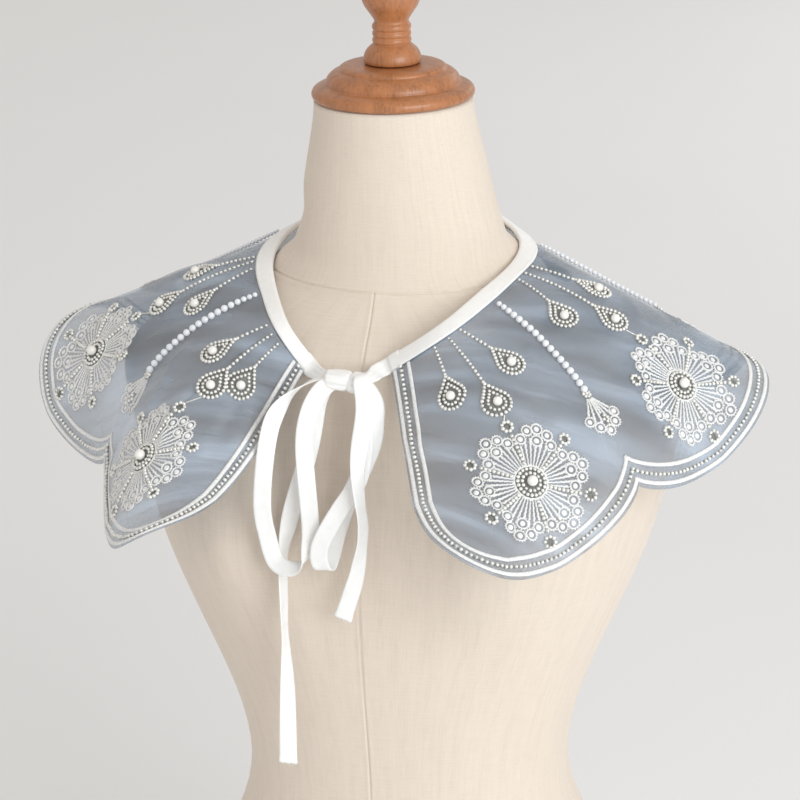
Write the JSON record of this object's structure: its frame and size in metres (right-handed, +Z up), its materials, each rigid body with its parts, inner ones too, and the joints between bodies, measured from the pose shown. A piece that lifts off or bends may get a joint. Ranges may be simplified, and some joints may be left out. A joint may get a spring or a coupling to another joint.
{
  "type": "false collar on a limbless dress form",
  "caption": "Scalloped sheer organza false collar with beaded embroidery and a ribbon bow, tied round the neck of a limbless linen dress form with a turned wooden cap.",
  "frame": {"origin": "middle of the form's flat underside", "axes": "+Z up the form's neck, -Y the way the front faces, +X the wearer's left"},
  "size_m": [0.4708, 0.3451, 0.7564],
  "materials": {
    "organza": "sheer stiff organza, two layers",
    "embroidery_thread": "white satin stitch",
    "seed_beads": "silver lined seed beads",
    "pearls": "white pearls",
    "ribbon": "matt white folded ribbon",
    "linen": "plain linen cloth over a hard shell",
    "wood": "turned, clear satin varnish"
  },
  "bodies": {
    "root": {"collar_panel": "organza", "rim_cord_outer": "embroidery_thread", "rim_bead_row": "seed_beads", "rim_cord_inner": "embroidery_thread", "flower_1": "embroidery_thread", "drop_1a": "seed_beads", "drop_1b": "seed_beads", "drop_1c": "seed_beads", "flower_2": "embroidery_thread", "drop_2a": "seed_beads", "drop_2b": "seed_beads", "drop_2c": "seed_beads", "flower_3": "embroidery_thread", "drop_3a": "seed_beads", "drop_3b": "seed_beads", "drop_3c": "seed_beads", "flower_4": "embroidery_thread", "drop_4a": "seed_beads", "drop_4b": "seed_beads", "drop_4c": "seed_beads", "flower_5": "embroidery_thread", "drop_5a": "seed_beads", "drop_5b": "seed_beads", "drop_5c": "seed_beads", "flower_6": "embroidery_thread", "drop_6a": "seed_beads", "drop_6b": "seed_beads", "drop_6c": "seed_beads", "fan_1": "embroidery_thread", "pearl_line_1": "pearls", "fan_2": "embroidery_thread", "pearl_line_2": "pearls", "fan_3": "embroidery_thread", "pearl_line_3": "pearls", "fan_4": "embroidery_thread", "pearl_line_4": "pearls", "fan_5": "embroidery_thread", "pearl_line_5": "pearls", "neckband": "ribbon", "tie_left": "ribbon", "tie_right": "ribbon", "bow_knot": "ribbon", "bow_loop_left": "ribbon", "bow_loop_right": "ribbon", "tail_long": "ribbon", "tail_short": "ribbon", "form_body": "linen", "neck_cap": "wood", "neck_finial": "wood"}
  },
  "joints": []
}
